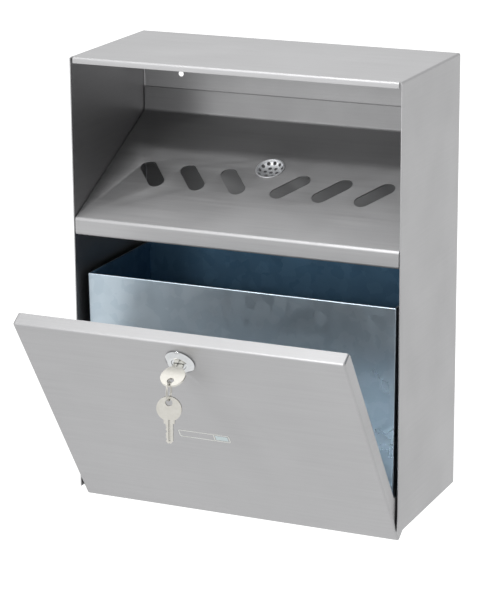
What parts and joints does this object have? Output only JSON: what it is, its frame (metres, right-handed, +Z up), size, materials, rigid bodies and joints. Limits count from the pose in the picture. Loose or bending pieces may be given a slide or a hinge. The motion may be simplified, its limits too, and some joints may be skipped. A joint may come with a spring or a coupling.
{
  "type": "wall-mounted ash bin",
  "caption": "Wall-mounted stainless ash bin with a slotted, sloped tray, a stub-out dish, a loose bucket and a bottom-hinged locking door standing open.",
  "frame": {"origin": "on the wall face of the back, midway between the two screw holes", "axes": "+X to the right as seen from the front, +Y into the wall, +Z up"},
  "size_m": [0.3, 0.2735, 0.394],
  "materials": {
    "stainless_steel": "satin stainless sheet",
    "chrome": "polished chrome plate",
    "spring_steel": "bare spring steel",
    "nylon": "natural nylon",
    "zinc_plate": "bright zinc plate",
    "nickel_plate": "nickel plate",
    "galvanised_steel": "galvanised sheet"
  },
  "bodies": {
    "housing": {"housing_shell": "stainless_steel", "floor_pan": "stainless_steel", "ash_tray": "stainless_steel", "stub_dish": "chrome", "dish_clip": "spring_steel", "hinge_pin_left": "stainless_steel", "hinge_pin_right": "stainless_steel", "hinge_spacer_left": "nylon", "hinge_spacer_right": "nylon", "hinge_clip_left": "spring_steel", "hinge_clip_right": "spring_steel", "stop_stud_left": "stainless_steel", "stop_stud_right": "stainless_steel"},
    "bucket": {"bucket": "galvanised_steel"},
    "door": {"door_panel": "stainless_steel", "lock_body": "chrome", "lock_nut": "zinc_plate"},
    "lock_core": {"lock_plug": "chrome", "lock_cam": "zinc_plate", "cam_washer": "zinc_plate", "cam_screw": "zinc_plate"},
    "key": {"door_key": "nickel_plate"},
    "ring": {"key_ring": "nickel_plate"},
    "spare": {"spare_key": "nickel_plate"}
  },
  "joints": [
    {"name": "door_hinge", "type": "hinge", "parent": "housing", "child": "door", "pos_m": [0, -0.119, -0.338], "axis": [1, 0, 0], "range_deg": [-33, 0]},
    {"name": "lock_turn", "type": "hinge", "parent": "door", "child": "lock_core", "pos_m": [0, -0.24402, -0.18405], "axis": [0, -0.8387, -0.5446], "range_deg": [-90, 0]},
    {"name": "key_pull", "type": "slide", "parent": "lock_core", "child": "key", "axis": [0, -0.8387, -0.5446], "range_m": [0, 0.017]},
    {"name": "ring_swing", "type": "hinge", "parent": "key", "child": "ring", "pos_m": [0, -0.26535, -0.19791], "axis": [1, 0, 0], "range_deg": [-25, 25]},
    {"name": "spare_swing", "type": "hinge", "parent": "ring", "child": "spare", "pos_m": [0, -0.26535, -0.21032], "axis": [-0.2079, 0.9781, 0], "range_deg": [-30, 30]},
    {"name": "bucket_slide", "type": "slide", "parent": "housing", "child": "bucket", "axis": [0, -1, 0], "range_m": [0, 0.007]}
  ]
}
